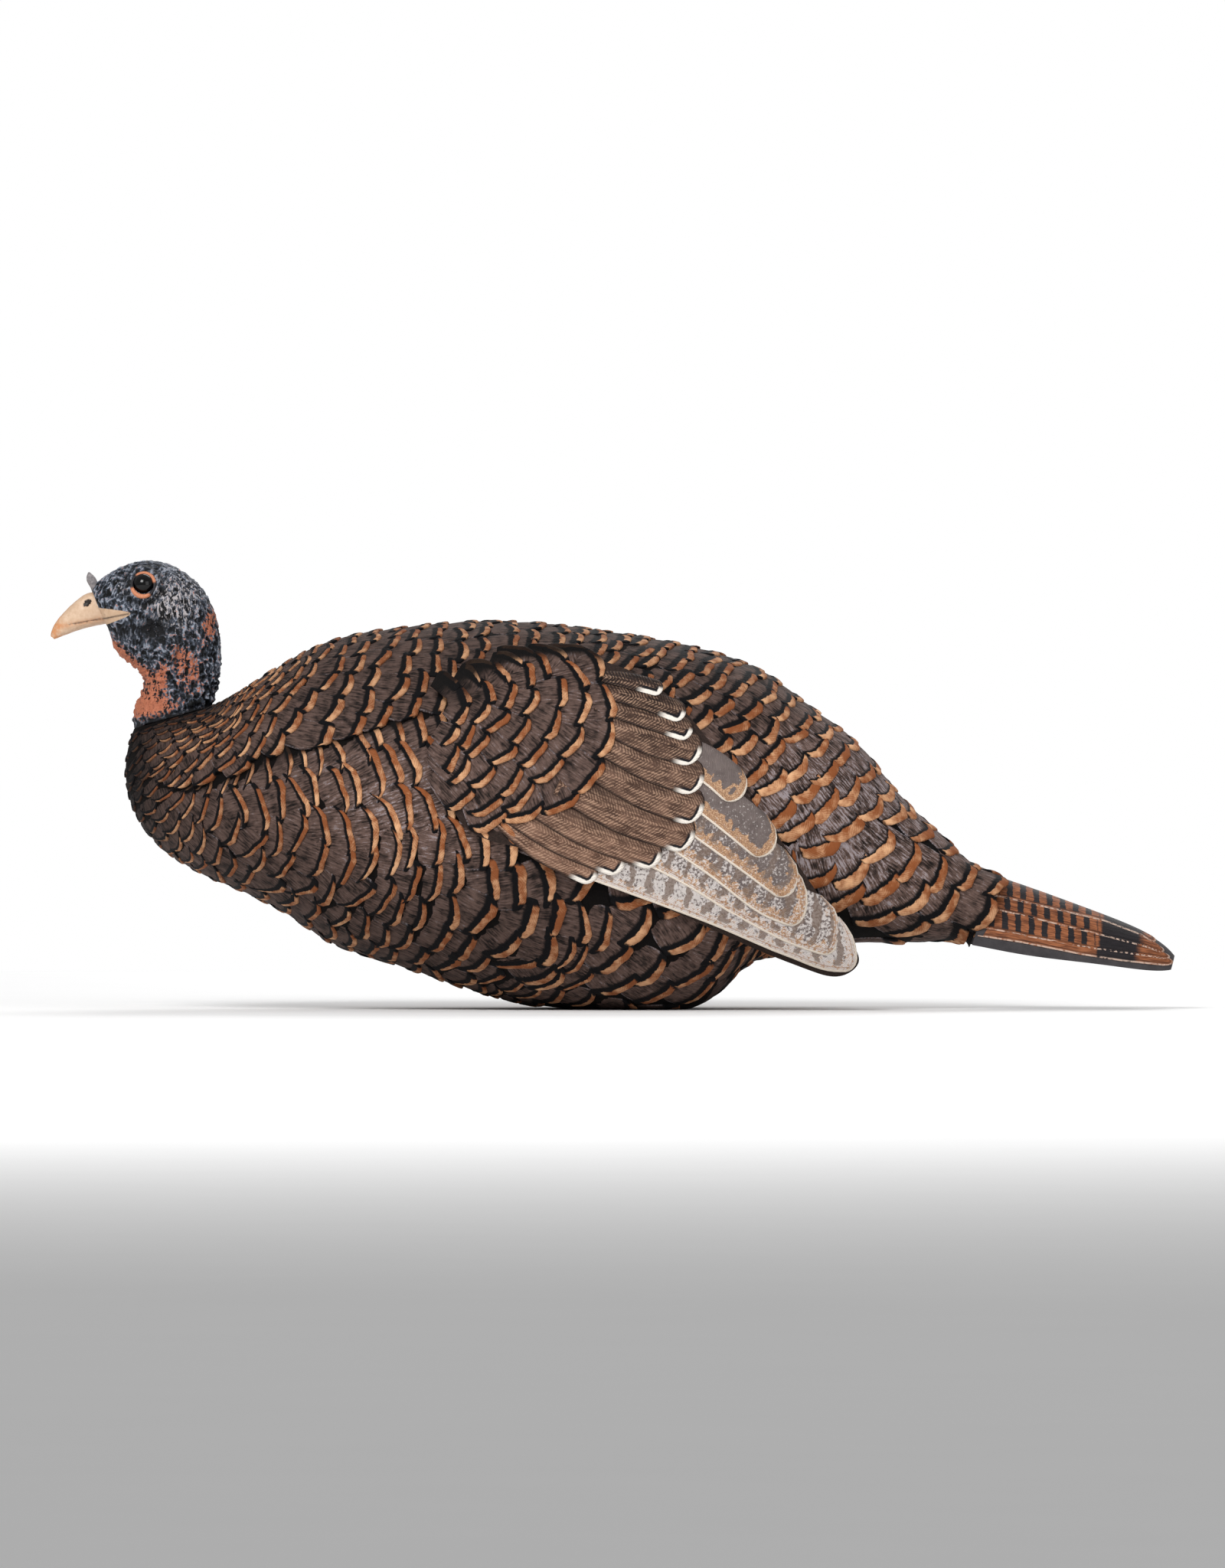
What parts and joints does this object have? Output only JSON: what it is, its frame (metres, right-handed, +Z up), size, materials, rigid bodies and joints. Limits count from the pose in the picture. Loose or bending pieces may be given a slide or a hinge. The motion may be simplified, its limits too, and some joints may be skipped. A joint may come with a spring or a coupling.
{
  "type": "turkey decoy",
  "caption": "Life-size laydown hen turkey decoy: dowelled hollow body with a stake tube, clip-on wing covers, turning and removable head, pull-out tail.",
  "frame": {"origin": "on the ground, under the middle of the overall length, on the bird's centre plane", "axes": "+Z up; the bill points along -X and the tail along +X; the bird's left side faces -Y"},
  "size_m": [0.7, 0.2348, 0.2778],
  "materials": {
    "body_plumage": "painted feathers, matt",
    "wing_plumage": "painted feathers, matt",
    "tail_plumage": "painted feathers, matt",
    "head_skin": "soft moulded skin, painted",
    "snood": "soft moulded skin, painted",
    "bill": "satin",
    "eye": "glossy",
    "socket_plastic": "moulded nylon",
    "dowel_plastic": "moulded",
    "rubber_parts": "soft",
    "foam_saddle": "closed-cell foam",
    "steel_fasteners": "zinc plated",
    "washer": "acetal, waxed"
  },
  "bodies": {
    "body": {"body_shell_left": "body_plumage", "body_shell_right": "body_plumage", "seam_dowels": "dowel_plastic", "neck_socket": "socket_plastic", "neck_socket_screws": "steel_fasteners", "stake_tube": "socket_plastic", "stake_tube_screws": "steel_fasteners", "stake_cap": "rubber_parts", "back_saddle": "foam_saddle", "drain_grommets": "rubber_parts", "wing_left": "wing_plumage", "wing_right": "wing_plumage", "wing_clips_left": "steel_fasteners", "wing_clips_right": "steel_fasteners", "tail_socket": "socket_plastic", "tail_socket_screws": "steel_fasteners"},
    "neck_plug": {"neck_plug": "socket_plastic", "plug_friction_ring": "rubber_parts"},
    "head": {"head_skin": "head_skin", "bill": "bill", "snood": "snood", "eye_left": "eye", "eye_right": "eye", "neck_core": "socket_plastic", "swivel_washer": "washer", "swivel_bolt": "steel_fasteners"},
    "tail": {"tail_fan": "tail_plumage", "tail_tang": "socket_plastic", "tail_rivets": "steel_fasteners"}
  },
  "joints": [
    {"name": "neck_plug_slide", "type": "slide", "parent": "body", "child": "neck_plug", "axis": [-0.2707, 0, 0.9627], "range_m": [0, 0.045]},
    {"name": "head_turn", "type": "hinge", "parent": "neck_plug", "child": "head", "pos_m": [-0.274, 0, 0.18075], "axis": [-0.2707, 0, 0.9627], "range_deg": [-90, 90]},
    {"name": "tail_slide", "type": "slide", "parent": "body", "child": "tail", "axis": [0.9584, 0, -0.2855], "range_m": [0, 0.045]}
  ]
}
